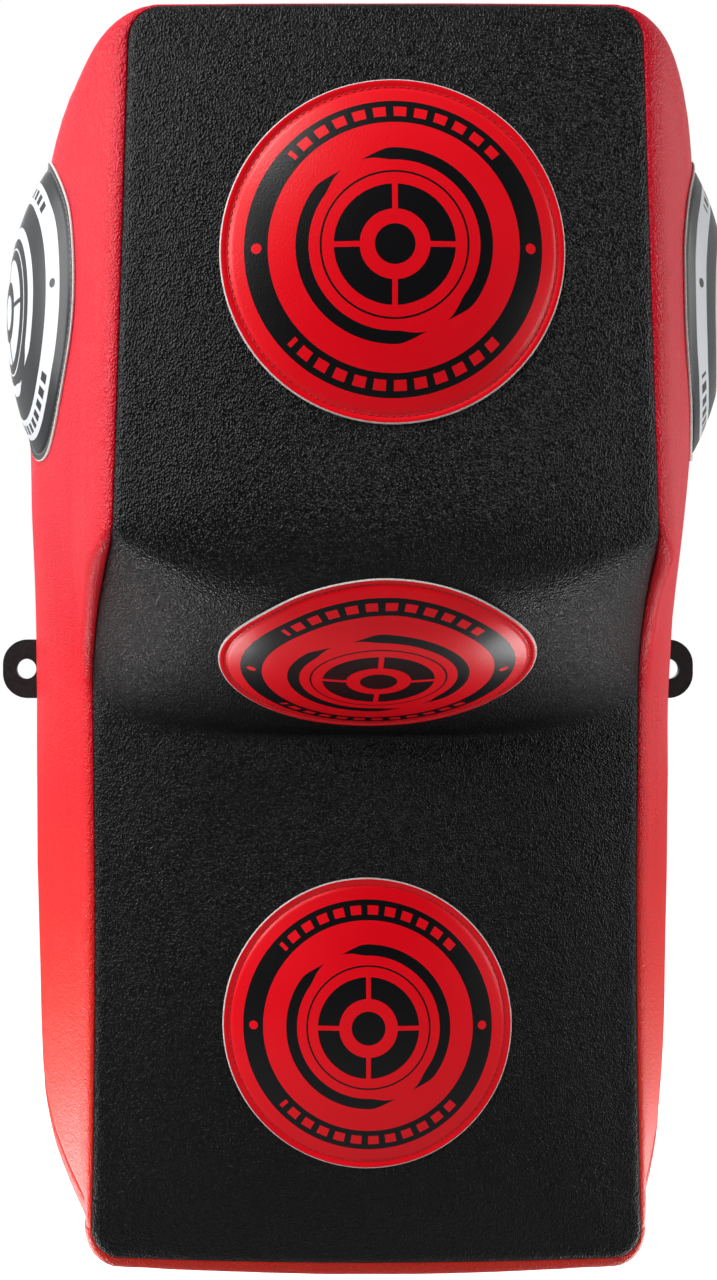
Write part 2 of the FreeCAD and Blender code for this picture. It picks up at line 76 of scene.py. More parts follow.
REAR_OUT = -bar_low.y  # the back of the cover lies on the bar's front
HEAD_OUT = -face_low.y
BODY_OUT = 0.190  # the body's front seam
BODY_LEAN = 0.008  # the body's seam stands this much further out at the bottom
BODY_HALF = face_high.x - 0.002
BODY_WAIST = 0.002  # how far the body's seam pulls in between its corners
CHIN_HALF = 0.160
TOP_HALF = 0.150
BACK_HALF = side_high.x - 0.002
REAR_TUCK = 0.008  # how far each side turns in at its rear edge
REAR_EDGE_OUT = REAR_OUT + 0.0015
WIDEST_OUT = 0.030
TOP = face_high.z + 0.0008
BOTTOM = -face_low.z + 0.0025
TOP_BOW = 0.0015  # how far the top and bottom seams bow outwards in their middle
BOTTOM_BOW = 0.0045
CHIN_TOP = chin_block_high.z
CHIN_BOTTOM = chin_block_low.z
CHIN_CURVE = 2.3  # how hollow the seam is from the body's face up to the head's
FLANK_LOW = CHIN_BOTTOM - 0.016  # the flanks turn from the body's to the head's over a longer stretch
FLANK_HIGH = CHIN_TOP + 0.109
LOW_FRONT_CORNER = 0.019  # corner radii, seen from the front
BACK_CORNER = 0.072
TOP_CORNERS = (0.020, 0.034, 0.058, 0.071, BACK_CORNER, BACK_CORNER)
LOW_TAPER = 0.0055  # how much narrower the flanks are at the bottom
TAPER_START = -0.08
TAPER_REACH = 0.24
BOTTOM_ROLL = 0.0145  # how far the bottom panel hangs below its front seam
FOLD_DROP = 0.024  # the chin's fold and valley hang lower in the middle than at the seams
VALLEY_DROP = 0.017
FACE_CROWN = 0.0020  # how far the face swells between its seams
CHIN_SWELL = 0.0075  # and how much more the chin's slope does
SEAM_ROLL = 0.0022  # how far the panels roll up out of a seam
SEAM_ROLL_REACH = 0.0022
BAND_SEAM = 0.0008  # groove where two red panels meet
HEM_WIDTH = 0.013
HEM_OVERLAP = 0.003
HEM_SETTLE = 0.0004  # how far the hem lies behind the bar's front
HEM_ROLL = 0.0019  # and how far its fold stands out from there
LINEN_THICK = 0.0016

# stations of the outline, front seam to rear edge: half width, out
HEAD_STATIONS = (
    (CHIN_HALF, HEAD_OUT),
    (0.185, 0.297),
    (0.220, 0.204),
    (0.249, 0.104),
    (BACK_HALF, WIDEST_OUT),
    (BACK_HALF - REAR_TUCK, REAR_EDGE_OUT),
)
BODY_STATIONS = (
    (BODY_HALF, BODY_OUT),
    (0.208, 0.166),
    (0.226, 0.128),
    (0.245, 0.083),
    (BACK_HALF, WIDEST_OUT),
    (BACK_HALF - REAR_TUCK, REAR_EDGE_OUT),
)
TOP_REACHES = (TOP, TOP + 0.002, TOP - 0.001, TOP - 0.005, TOP - 0.009, TOP - 0.013)
BOTTOM_REACHES = (BOTTOM, BOTTOM + 0.001, BOTTOM - 0.003, BOTTOM - 0.010, BOTTOM - 0.018, BOTTOM - 0.024)
ROWS_BETWEEN = (20, 20, 20, 16, 10)  # rows of points from each station to the next

# points along half of the outline, from the middle of the bottom to the middle of the top
N_END = 34
N_CORNER = 14
N_BODY = 78
N_CHIN = 40
N_HEAD = 64
SPREAD = 1.0 - (1.0 - np.linspace(0, 1, N_END + 1)) ** 1.7  # 0 in the middle, 1 at the corner


# ------------------------ mesh helpers
def placed(name, data):
    """A new object in the scene, made of a mesh, a light or a camera."""
    obj = bpy.data.objects.new(name, data)
    bpy.context.scene.collection.objects.link(obj)
    return obj


def new_object(name, points, faces, smooth=True):
    """A mesh object from an array of points and a list of faces."""
    mesh = bpy.data.meshes.new(name)
    mesh.from_pydata(np.asarray(points).reshape(-1, 3).tolist(), [], [list(f) for f in faces])
    mesh.validate()
    mesh.update()
    if smooth:
        mesh.polygons.foreach_set("use_smooth", [True] * len(mesh.polygons))
    return placed(name, mesh)


def quads(rows, columns, closed=False, flip=False):
    """Corner numbers of the quads of a grid of points."""
    index = np.arange(rows * columns).reshape(rows, columns)
    if closed:
        index = np.concatenate([index, index[:, :1]], axis=1)
    corners = [index[:-1, :-1], index[:-1, 1:], index[1:, 1:], index[1:, :-1]]
    if flip:
        corners.reverse()
    return np.stack(corners, axis=-1).reshape(-1, 4)


def normals(grid, closed=False):
    """Unit normals of a grid of points, by its rows and columns: column direction x row direction."""
    if closed:
        along = np.roll(grid, -1, axis=1) - np.roll(grid, 1, axis=1)
    else:
        along = np.gradient(grid, axis=1)
    across = np.gradient(grid, axis=0)
    made = np.cross(along, across)
    return made / np.maximum(np.linalg.norm(made, axis=2, keepdims=True), 1e-12)


def thicken(obj, thickness):
    """Gives a sheet its thickness, inwards."""
    solid = obj.modifiers.new("thickness", "SOLIDIFY")
    solid.thickness = thickness
    solid.offset = -1
    return obj


def face_outwards(mesh, merge_within=0.0):
    """Merges points that all but coincide, and turns every face outwards."""
    work = bmesh.new()
    work.from_mesh(mesh)
    if merge_within:
        bmesh.ops.remove_doubles(work, verts=work.verts, dist=merge_within)
    bmesh.ops.recalc_face_normals(work, faces=work.faces)
    work.to_mesh(mesh)
    work.free()


def apply_modifiers(obj):
    """Turns an object's modifiers into mesh."""
    graph = bpy.context.evaluated_depsgraph_get()
    made = bpy.data.meshes.new_from_object(obj.evaluated_get(graph))
    obj.modifiers.clear()
    obj.data = made
    return obj


def finish_piece(obj, material, replaced=()):
    """Material, body and replaced CAD nodes of one piece."""
    obj.data.materials.clear()
    for one in material if isinstance(material, (list, tuple)) else [material]:
        obj.data.materials.append(one)
    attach(obj, "root")
    if replaced:
        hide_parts(*replaced)
    return obj


def ripple(points, scale, seed):
    """Smooth noise from -1 to 1 at each point; scale is the size of one ripple."""
    flat = np.asarray(points).reshape(-1, 3) / scale + seed
    made = np.array([noise.noise(Vector(p)) for p in flat])
    return made.reshape(np.asarray(points).shape[:-1])


# ------------------------ outline and its smooth surface
def section(station, level):
    """Half width and out of the outline at one station and level, away from its corners."""
    head_half, head_out = HEAD_STATIONS[station]
    body_half, body_out = BODY_STATIONS[station]
    if station == 0:
        down = min(max((CHIN_BOTTOM - level) / (CHIN_BOTTOM + BOTTOM), 0), 1)
        body_half -= BODY_WAIST * math.sin(math.pi * down)
        body_out += BODY_LEAN * down
        up = min(max((level - CHIN_TOP) / (TOP - CHIN_TOP), 0), 1)
        head_half += (TOP_HALF - head_half) * up
        share = min(max((level - CHIN_BOTTOM) / (CHIN_TOP - CHIN_BOTTOM), 0), 1) ** CHIN_CURVE
    else:
        body_half -= LOW_TAPER * (max(TAPER_START - level, 0) / TAPER_REACH) ** 2
        rise = min(max((level - FLANK_LOW) / (FLANK_HIGH - FLANK_LOW), 0), 1)
        share = rise * rise * (3 - 2 * rise)
    return body_half + (head_half - body_half) * share, body_out + (head_out - body_out) * share


def half_outline(station):
    """Half of the outline at one station: rows of half width, out and level, bottom to top."""
    top, bottom = TOP_REACHES[station], BOTTOM_REACHES[station]
    low_back_share = 1 - BODY_STATIONS[station][1] / BODY_OUT
    high_radius = TOP_CORNERS[station]
    low_radius = LOW_FRONT_CORNER + (BACK_CORNER - LOW_FRONT_CORNER) * low_back_share
    low_half, low_out = section(station, low_radius - bottom)
    high_half, high_out = section(station, top - high_radius)
    quarter = np.linspace(0, math.pi / 2, N_CORNER, endpoint=False)
    points = [(s * (low_half - low_radius), low_out, -bottom) for s in SPREAD[:-1]]
    for angle in quarter:
        x = low_half - low_radius + low_radius * math.sin(angle)
        points.append((x, low_out, -bottom + low_radius - low_radius * math.cos(angle)))
    levels = np.concatenate([
        np.linspace(low_radius - bottom, CHIN_BOTTOM, N_BODY, endpoint=False),
        np.linspace(CHIN_BOTTOM, CHIN_TOP, N_CHIN, endpoint=False),
        np.linspace(CHIN_TOP, top - high_radius, N_HEAD, endpoint=False),
    ])
    points += [(*section(station, level), level) for level in levels]
    for angle in quarter:
        x = high_half - high_radius + high_radius * math.cos(angle)
        points.append((x, high_out, top - high_radius + high_radius * math.sin(angle)))
    points += [(s * (high_half - high_radius), high_out, top) for s in SPREAD[::-1]]
    points = np.array(points)
    low, high = slice(0, N_END + N_CORNER), slice(-N_END - N_CORNER - 1, None)
    points[low, 2] -= BOTTOM_BOW * (1 - (points[low, 0] / low_half) ** 2)
    points[high, 2] += TOP_BOW * (1 - (points[high, 0] / high_half) ** 2)
    return relax(points, N_END + N_CORNER + N_BODY + N_CHIN, 5, 4) if station == 0 else points


def relax(points, middle, reach, turns):
    """Rounds a corner of a line of points, over some points each side of its middle."""
    inner = slice(middle - reach, middle + reach + 1)
    before = slice(middle - reach - 1, middle + reach)
    after = slice(middle - reach + 1, middle + reach + 2)
    for _ in range(turns):
        points[inner] = (points[before] + 2 * points[inner] + points[after]) / 4
    return points


def hermite(a, b, slope_a, slope_b, t):
    """Cubic from a to b with the given end slopes."""
    return (
        (2 * t ** 3 - 3 * t ** 2 + 1) * a
        + (t ** 3 - 2 * t ** 2 + t) * slope_a
        + (3 * t ** 2 - 2 * t ** 3) * b
        + (t ** 3 - t ** 2) * slope_b
    )


def loft(stations):
    """Smooth surface through the stations: rows from the front seam to the rear edge."""
    gaps = [np.linalg.norm(b - a, axis=1, keepdims=True) for a, b in zip(stations, stations[1:])]
    steps = [(b - a) / gap for a, b, gap in zip(stations, stations[1:], gaps)]
    slopes = [steps[0] + np.array([0.35, 0.35, 0.0])]
    for before, after, gap_a, gap_b in zip(steps, steps[1:], gaps, gaps[1:]):
        slopes.append((before * gap_a + after * gap_b) / (gap_a + gap_b))
    slopes.append(steps[-1])
    rows = []
    for index, count in enumerate(ROWS_BETWEEN):
        gap = gaps[index]
        for t in np.linspace(0, 1, count, endpoint=False) ** (1.4 if index == 0 else 1):
            start, end = stations[index], stations[index + 1]
            rows.append(hermite(start, end, slopes[index] * gap, slopes[index + 1] * gap, t))
    rows.append(stations[-1])
    return np.array(rows)


def mirrored(half):
    """Half width, out and level turned into x, y and z, all round the pad from the bottom's middle."""
    right = np.stack([half[..., 0], -half[..., 1], half[..., 2]], axis=-1)
    left = right[:, -2:0:-1] * np.array([-1, 1, 1])
    return np.concatenate([right, left], axis=1)


half_stations = [half_outline(index) for index in range(len(HEAD_STATIONS))]
half_seam = half_stations[0]
band = mirrored(loft(half_stations))
HALF_COUNT = len(half_seam)


def path_length(grid):
    """Distance from a grid's first row, at each point."""
    steps = np.linalg.norm(np.diff(grid, axis=0), axis=2)
    return np.concatenate([np.zeros((1, grid.shape[1])), np.cumsum(steps, axis=0)])


# the red band rolls up out of the seam, its bottom hangs down, and the stitching puckers it a little
band_normals = -normals(band, closed=True)
from_seam = path_length(band)[..., None]
pucker = ripple(band * np.array([1, 0.3, 1]), 0.011, 3.7)[..., None]
swell = ripple(band, 0.07, 11.3)[..., None]
settle = np.minimum(from_seam / 0.02, 1)
downward = np.maximum(-band_normals[..., 2:], 0) ** 2 * (1 - 0.3 * (band[..., :1] / BODY_HALF) ** 2)
band = band + band_normals * (
    SEAM_ROLL * (1 - np.exp(-from_seam / SEAM_ROLL_REACH))
    + BOTTOM_ROLL * downward * (1 - np.exp(-from_seam / 0.006)) * np.exp(-from_seam / 0.09)
    + 0.0006 * pucker * np.exp(-from_seam / 0.012) * settle
    + 0.0009 * swell * settle
)

# ------------------------ the black face
FACE_ROWS = slice(N_END, HALF_COUNT - N_END)
VALLEY_REACH = 0.055  # how far the valley's drop runs down the body
FOLD_REACH = 0.045  # and the fold's drop up the head
END_REACH = 0.05
PILLOW_REACH = 0.03  # the face reaches its full crown this far in from a seam
SWELL_REACH = 0.035
SLACK_DEPTH = 0.0025  # a slack place on the body, left of its disc
SLACK_PLACE = (-0.085, -0.105)
SLACK_REACH = 0.04


def centre_line():
    """Out and level along the middle of the face, row by row with the seam, bottom to top."""
    side = half_seam[FACE_ROWS]
    out, level = side[:, 1].copy(), side[:, 2].copy()
    first = N_CORNER + N_BODY
    last = first + N_CHIN
    level[:first] -= VALLEY_DROP * np.exp((level[:first] - CHIN_BOTTOM) / VALLEY_REACH)
    level[last:] -= FOLD_DROP * np.exp((CHIN_TOP - level[last:]) / FOLD_REACH)
    valley = np.array([BODY_OUT, CHIN_BOTTOM - VALLEY_DROP])
    fold = np.array([HEAD_OUT, CHIN_TOP - FOLD_DROP])
    valley_side = valley + np.array([0.055, 0.034])
    fold_side = fold + np.array([-0.046, -0.034])
    rise = np.linspace(0, 1, N_CHIN, endpoint=False)[:, None]
    slope = (
        valley * (1 - rise) ** 3
        + 3 * valley_side * rise * (1 - rise) ** 2
        + 3 * fold_side * rise ** 2 * (1 - rise)
        + fold * rise ** 3
    )
    out[first:last], level[first:last] = slope[:, 0], slope[:, 1]
    line = np.stack([out, level], axis=1)
    relax(line, last, 9, 22)
    return relax(line, first, 6, 7)


def face_grid():
    """The face's points: rows from bottom to top, columns from left to right."""
    side = half_seam[FACE_ROWS]
    middle = centre_line()
    shares = np.concatenate([-SPREAD[:0:-1], SPREAD])
    rows = len(side)
    first, last = N_CORNER + N_BODY, N_CORNER + N_BODY + N_CHIN
    number = np.arange(rows)
    in_chin = 1 / (1 + np.exp(-(number - first + 2) / 3)) / (1 + np.exp((number - last - 3) / 4))
    power = (6 - 2.5 * in_chin)[:, None]
    x = side[:, :1] * shares
    blend = 1 - np.abs(shares)[None, :] ** power
    out = side[:, 1:2] + (middle[:, :1] - side[:, 1:2]) * blend
    level = side[:, 2:3] + (middle[:, 1:2] - side[:, 2:3]) * blend
    low_share = np.exp(-(level - level[0]) / END_REACH)
    high_share = np.exp(-(level[-1] - level) / END_REACH)
    level -= low_share * BOTTOM_BOW * ((side[:, :1] / BODY_HALF) ** 2 - (x / BODY_HALF) ** 2)
    level += high_share * TOP_BOW * ((side[:, :1] / TOP_HALF) ** 2 - (x / TOP_HALF) ** 2)
    grid = np.stack([x, -out, level], axis=-1)

    slope = np.gradient(middle, axis=0)
    slope /= np.linalg.norm(slope, axis=1, keepdims=True)
    lift = np.stack([np.zeros(rows), -slope[:, 1], -slope[:, 0]], axis=1)[:, None, :]
    to_side = side[:, :1] - np.abs(x)
    to_low = level - level[0]
    to_high = level[-1] - level
    edge = sum(np.maximum(to, 1e-6) ** -2 for to in (to_side, to_low, to_high)) ** -0.5
    pillow = FACE_CROWN * (1 - np.exp(-edge / PILLOW_REACH))
    pillow += SEAM_ROLL * (1 - np.exp(-edge / SEAM_ROLL_REACH))
    pillow += CHIN_SWELL * in_chin[:, None] * (1 - np.exp(-edge / SWELL_REACH))
    dents = 0.0008 * ripple(grid, 0.08, 5.1) * np.minimum(edge / 0.02, 1)
    slack = np.exp(-((x - SLACK_PLACE[0]) ** 2 + (level - SLACK_PLACE[1]) ** 2) / SLACK_REACH ** 2)
    puckers = 0.0005 * ripple(grid, 0.011, 9.2) * np.exp(-edge / 0.01) * np.minimum(edge / 0.003, 1)
    return grid + lift * (pillow + dents + puckers - SLACK_DEPTH * slack)[..., None]


face = face_grid()


# ------------------------ the swelling, by cloth simulation
VOXEL = 0.007
MERGE_WITHIN = 0.0004
CLOTH_PRESSURE = 4
CLOTH_FRAMES = 20
CLOTH_CAP = 0.0055  # the farthest that the cloth may move
SEAM_HOLD = 0.014  # how far each side of a seam its stitches hold the cloth in
REAR_HOLD = 0.030


def closed_cover():
    """The whole cover as one closed mesh: the face, the band and a flat back."""
    rows, columns = face.shape[:2]
    band_rows, band_columns = band.shape[:2]
    count = rows * columns
    faces = [tuple(q) for q in quads(rows, columns)]
    faces += [tuple(q + count) for q in quads(band_rows, band_columns, closed=True, flip=True)]
    faces.append(tuple(count + (band_rows - 1) * band_columns + np.arange(band_columns)[::-1]))
    points = np.concatenate([face.reshape(-1, 3), band.reshape(-1, 3)])
    shell = new_object("cover_base", points, faces)
    face_outwards(shell.data, MERGE_WITHIN)
    return shell


def places_of(mesh):
    """The points of a mesh, as an array."""
    places = np.empty(len(mesh.vertices) * 3)
    mesh.vertices.foreach_get("co", places)
    return places.reshape(-1, 3)


def near_tree(places):
    """A tree that finds the nearest of some points."""
    tree = KDTree(len(places))
    for number, place in enumerate(places):
        tree.insert(place, number)
    tree.balance()
    return tree


def pressed_cloth(shell, seams):
    """Places on the cover's cloth, and how far the foam presses each one out between the seams."""
    cloth = placed("cover_cloth", shell.data.copy())
    remesh = cloth.modifiers.new("remesh", "REMESH")
    remesh.mode = "VOXEL"
    remesh.voxel_size = VOXEL
    apply_modifiers(cloth)
    places = places_of(cloth.data)
    held = cloth.vertex_groups.new(name="held")
    seam_tree = near_tree(seams)
    for number, place in enumerate(places):
        away = seam_tree.find(place)[2]
        rear = 1.0 if place[1] > -REAR_OUT - REAR_HOLD else 0.0
        held.add([number], max(rear, math.exp(-(away / SEAM_HOLD) ** 2)), "REPLACE")
    modifier = cloth.modifiers.new("cloth", "CLOTH")
    modifier.settings.quality = 4
    modifier.settings.use_pressure = True
    modifier.settings.uniform_pressure_force = CLOTH_PRESSURE
    modifier.settings.vertex_group_mass = "held"
    modifier.settings.effector_weights.gravity = 0
    modifier.point_cache.frame_start = 1
    modifier.point_cache.frame_end = CLOTH_FRAMES
    for number in range(1, CLOTH_FRAMES + 1):
        bpy.context.scene.frame_set(number)
    apply_modifiers(cloth)
    moves = places_of(cloth.data) - places
    bpy.context.scene.frame_set(1)
    bpy.data.objects.remove(cloth)
    sizes = np.maximum(np.linalg.norm(moves, axis=1, keepdims=True), 1e-9)
    return places, moves / sizes * np.tanh(sizes / CLOTH_CAP) * CLOTH_CAP


def carried(grid, tree, moves, near=10):
    """A grid of points, carried along with the cloth points next to them."""
    found = [tree.find_n(place, near) for place in grid.reshape(-1, 3)]
    numbers = np.array([[hit[1] for hit in hits] for hits in found])
    weights = np.exp(-(np.array([[hit[2] for hit in hits] for hits in found]) / VOXEL) ** 2) + 1e-9
    steps = (moves[numbers] * weights[..., None]).sum(axis=1) / weights.sum(axis=1, keepdims=True)
    return grid + steps.reshape(grid.shape)


# places along the band where its panels meet
LOW_CORNER = N_END + N_CORNER
HIGH_CORNER = LOW_CORNER + N_BODY + N_CHIN + N_HEAD + N_CORNER - 2
ROUND = band.shape[1]

unpressed = closed_cover()
panel_seams = [band[:, turn % ROUND] for turn in (LOW_CORNER, HIGH_CORNER, -LOW_CORNER, -HIGH_CORNER)]
cloth_places, cloth_moves = pressed_cloth(unpressed, np.concatenate([band[0], *panel_seams]))
bpy.data.objects.remove(unpressed)
cloth_tree = near_tree(cloth_places)
face = carried(face, cloth_tree, cloth_moves)
band = carried(band, cloth_tree, cloth_moves)

cover_base = closed_cover()


# ------------------------ materials
def tree_of(name):
    """A new material, its node tree and its shader."""
    material = bpy.data.materials.new(name)
    material.use_nodes = True
    tree = material.node_tree
    return material, tree, tree.nodes["Principled BSDF"]


def maths(tree, operation, a, b=None, c=None):
    """One Math node; each input is a number or another node's output."""
    node = tree.nodes.new("ShaderNodeMath")
    node.operation = operation
    for slot, value in zip(node.inputs, (a, b, c)):
        if value is None:
            continue
        if isinstance(value, (int, float)):
            slot.default_value = value
        else:
            tree.links.new(value, slot)
    return node.outputs[0]


def texture(tree, kind, scale, stretch=(1, 1, 1), **settings):
    """A procedural texture in the object's own coordinates, in metres."""
    place = tree.nodes.new("ShaderNodeTexCoord")
    mapping = tree.nodes.new("ShaderNodeMapping")
    mapping.inputs["Scale"].default_value = stretch
    tree.links.new(place.outputs["Object"], mapping.inputs["Vector"])
    node = tree.nodes.new(f"ShaderNodeTex{kind}")
    node.inputs["Scale"].default_value = scale
    for key, value in settings.items():
        if key in node.inputs:
            node.inputs[key].default_value = value
        else:
            setattr(node, key, value)
    tree.links.new(mapping.outputs["Vector"], node.inputs["Vector"])
    return node


def bump(tree, shader, height, strength, distance, below=None):
    """A bump on the shader's normal, on top of an earlier one if there is one."""
    node = tree.nodes.new("ShaderNodeBump")
    node.inputs["Strength"].default_value = strength
    node.inputs["Distance"].default_value = distance
    tree.links.new(height, node.inputs["Height"])
    if below is not None:
        tree.links.new(below, node.inputs["Normal"])
    tree.links.new(node.outputs["Normal"], shader.inputs["Normal"])
    return node.outputs["Normal"]


def ramp(tree, factor, stops):
    """A colour ramp: stops of position and colour."""
    node = tree.nodes.new("ShaderNodeValToRGB")
    while len(node.color_ramp.elements) < len(stops):
        node.color_ramp.elements.new(0.5)
    for element, (position, colour) in zip(node.color_ramp.elements, stops):
        element.position = position
        element.color = (*colour, 1)
    tree.links.new(factor, node.inputs["Fac"])
    return node.outputs["Color"]


def mix(tree, factor, a, b):
    """Colour a or b by a factor; each is a colour or another node's output."""
    node = tree.nodes.new("ShaderNodeMix")
    node.data_type = "RGBA"
    for key, value in ((0, factor), (6, a), (7, b)):
        if isinstance(value, (int, float)):
            node.inputs[key].default_value = value
        elif isinstance(value, tuple):
            node.inputs[key].default_value = (*value, 1)
        else:
            tree.links.new(value, node.inputs[key])
    return node.outputs[2]


def leather_grain(tree, shader, size, strength):
    """Pebbled grain of coated fabric, with larger soft unevenness under it."""
    warp = texture(tree, "Noise", 0.35 / size, Detail=2.0)
    pebbles = texture(tree, "Voronoi", 1 / size, stretch=(1.0, 1.0, 0.72), feature="SMOOTH_F1")
    pebbles.inputs["Smoothness"].default_value = 0.6
    height = maths(tree, "MULTIPLY_ADD", warp.outputs["Fac"], 1.2, pebbles.outputs["Distance"])
    soft = texture(tree, "Noise", 9, Detail=3.0)
    base = bump(tree, shader, soft.outputs["Fac"], 0.25, 0.01)
    bump(tree, shader, height, strength, size * 0.8, base)
    return height


def coated_fabric(name, dark, light, rough, size, strength, specular=0.5):
    """Grained coated fabric between two close colours."""
    material, tree, shader = tree_of(name)
    height = leather_grain(tree, shader, size, strength)
    cloudy = texture(tree, "Noise", 6, Detail=4.0)
    wear = maths(tree, "MULTIPLY_ADD", cloudy.outputs["Fac"], 0.75, maths(tree, "MULTIPLY", height, 0.16))
    tree.links.new(ramp(tree, wear, [(0.3, dark), (0.75, light)]), shader.inputs["Base Color"])
    gloss = maths(tree, "MULTIPLY_ADD", cloudy.outputs["Fac"], 0.1, rough - 0.05)
    tree.links.new(gloss, shader.inputs["Roughness"])
    shader.inputs["Specular IOR Level"].default_value = specular
    return material, tree, shader


def red_cover_material():
    """Red coated fabric, crimson above and a little more orange below, where painted warm light from below
    lightens it.
    """
    material, tree, shader = coated_fabric(
        "red_cover", (0.64, 0.001, 0.010), (0.74, 0.003, 0.018), 0.42, 0.0010, 0.8, 0.27
    )
    place = tree.nodes.new("ShaderNodeTexCoord")
    parts = tree.nodes.new("ShaderNodeSeparateXYZ")
    tree.links.new(place.outputs["Object"], parts.inputs[0])
    # painted light: the base colour grows lighter and more orange towards the bottom, standing in for warm
    # light from below
    down = maths(tree, "MULTIPLY_ADD", parts.outputs["Z"], -2.2, 0.35)
    painted_low_light = ramp(
        tree, down, [(0.0, (0.70, 0.001, 0.022)), (0.55, (0.78, 0.003, 0.008)), (1.0, (0.80, 0.026, 0.004))]
    )
    old = shader.inputs["Base Color"].links[0].from_socket
    tree.links.new(mix(tree, 0.75, old, painted_low_light), shader.inputs["Base Color"])
    return material


DASHES_PER_RADIAN = 21 / math.pi


def disc_material(name, ground, printed, rough):
    """Vinyl disc with a generic printed target. Its UV map runs from -1 to 1 across the disc."""
    material, tree, shader = tree_of(name)
    uv = tree.nodes.new("ShaderNodeUVMap")
    uv.uv_map = "disc"
    parts = tree.nodes.new("ShaderNodeSeparateXYZ")
    tree.links.new(uv.outputs["UV"], parts.inputs[0])
    across, up = parts.outputs["X"], parts.outputs["Y"]

    def calc(operation, a, b=None, c=None):
        return maths(tree, operation, a, b, c)

    def length(a, b):
        return calc("SQRT", calc("ADD", calc("MULTIPLY", a, a), calc("MULTIPLY", b, b)))

    def between(value, low, high):
        return calc("MULTIPLY", calc("GREATER_THAN", value, low), calc("LESS_THAN", value, high))

    def without(a, b):
        return calc("MULTIPLY", a, calc("SUBTRACT", 1.0, b))

    radius = length(across, up)
    turn = calc("ARCTAN2", up, across)

    # outer ring, with a dot left and right and rows of plain dashes above and below
    outer = between(radius, 0.719, 0.856)
    from_dot = length(calc("SUBTRACT", calc("ABSOLUTE", across), 0.785), up)
    outer = without(outer, calc("LESS_THAN", from_dot, 0.030))
    steepness = calc("ABSOLUTE", turn)
    in_rows = between(steepness, math.radians(42), math.radians(138))
    pace = calc("FRACT", calc("MULTIPLY", calc("ADD", steepness, 0.02), DASHES_PER_RADIAN))
    in_dashes = calc("MULTIPLY", between(radius, 0.757, 0.818), in_rows)
    outer = without(outer, calc("MULTIPLY", in_dashes, calc("LESS_THAN", pace, 0.62)))

    # two tapering arcs that follow each other round, then a thin ring and a bullseye
    tilt = calc("SINE", calc("ADD", calc("MULTIPLY", turn, 2.0), 0.6))
    width = calc("SMOOTH_MIN", calc("MULTIPLY", calc("ADD", tilt, 0.97), 0.13), 0.037, 0.02)
    arcs = calc("LESS_THAN", calc("ABSOLUTE", calc("SUBTRACT", radius, 0.524)), width)
    thin = between(radius, 0.412, 0.424)
    bull = calc("MAXIMUM", between(radius, 0.20, 0.345), calc("LESS_THAN", radius, 0.115))
    cross = calc("MINIMUM", calc("ABSOLUTE", across), calc("ABSOLUTE", up))
    notches = calc("MULTIPLY", calc("LESS_THAN", cross, 0.016), between(radius, 0.19, 0.36))
    ink = calc("MAXIMUM", calc("MAXIMUM", outer, arcs), calc("MAXIMUM", thin, without(bull, notches)))

    cloudy = texture(tree, "Noise", 14, Detail=3.0)
    pale = tuple(min(1, c * 1.12 + 0.003) for c in ground)
    under = ramp(tree, cloudy.outputs["Fac"], [(0.3, ground), (0.75, pale)])
    tree.links.new(mix(tree, ink, under, printed), shader.inputs["Base Color"])
    grain = texture(tree, "Voronoi", 900, feature="SMOOTH_F1")
    base = bump(tree, shader, cloudy.outputs["Fac"], 0.12, 0.004)
    bump(tree, shader, grain.outputs["Distance"], 0.16, 0.0005, base)
    gloss = calc("MULTIPLY_ADD", cloudy.outputs["Fac"], 0.12, rough - 0.06)
    tree.links.new(gloss, shader.inputs["Roughness"])
    shader.inputs["Specular IOR Level"].default_value = 0.30
    shader.inputs["Coat Weight"].default_value = 0.10
    shader.inputs["Coat Roughness"].default_value = 0.22
    return material


def simple_material(name, dark, light, rough, metal=0.0, scale=60, bumps=0.15, depth=0.0004):
    """Even material with fine unevenness in colour, gloss and surface."""
    material, tree, shader = tree_of(name)
    uneven = texture(tree, "Noise", scale, Detail=6.0)
    colour = ramp(tree, uneven.outputs["Fac"], [(0.3, dark), (0.7, light)])
    gloss = maths(tree, "MULTIPLY_ADD", uneven.outputs["Fac"], 0.16, rough - 0.08)
    tree.links.new(colour, shader.inputs["Base Color"])
    tree.links.new(gloss, shader.inputs["Roughness"])
    shader.inputs["Metallic"].default_value = metal
    bump(tree, shader, uneven.outputs["Fac"], bumps, depth)
    return material


def woven_material():
    """Black non-woven backing with a fine weave."""
    material, tree, shader = tree_of("black_backing")
    warp = texture(tree, "Wave", 420, bands_direction="X")
    weft = texture(tree, "Wave", 420, bands_direction="Z")
    fuzz = texture(tree, "Noise", 260, Detail=5.0)
    weave = maths(tree, "MAXIMUM", warp.outputs["Fac"], weft.outputs["Fac"])
    height = maths(tree, "MULTIPLY_ADD", weave, 0.6, maths(tree, "MULTIPLY", fuzz.outputs["Fac"], 0.6))
    colour = ramp(tree, height, [(0.2, (0.006, 0.006, 0.007)), (1.0, (0.03, 0.03, 0.032))])
    tree.links.new(colour, shader.inputs["Base Color"])
    shader.inputs["Roughness"].default_value = 0.85
    shader.inputs["Sheen Weight"].default_value = 0.25
    bump(tree, shader, height, 0.5, 0.0005)
    return material


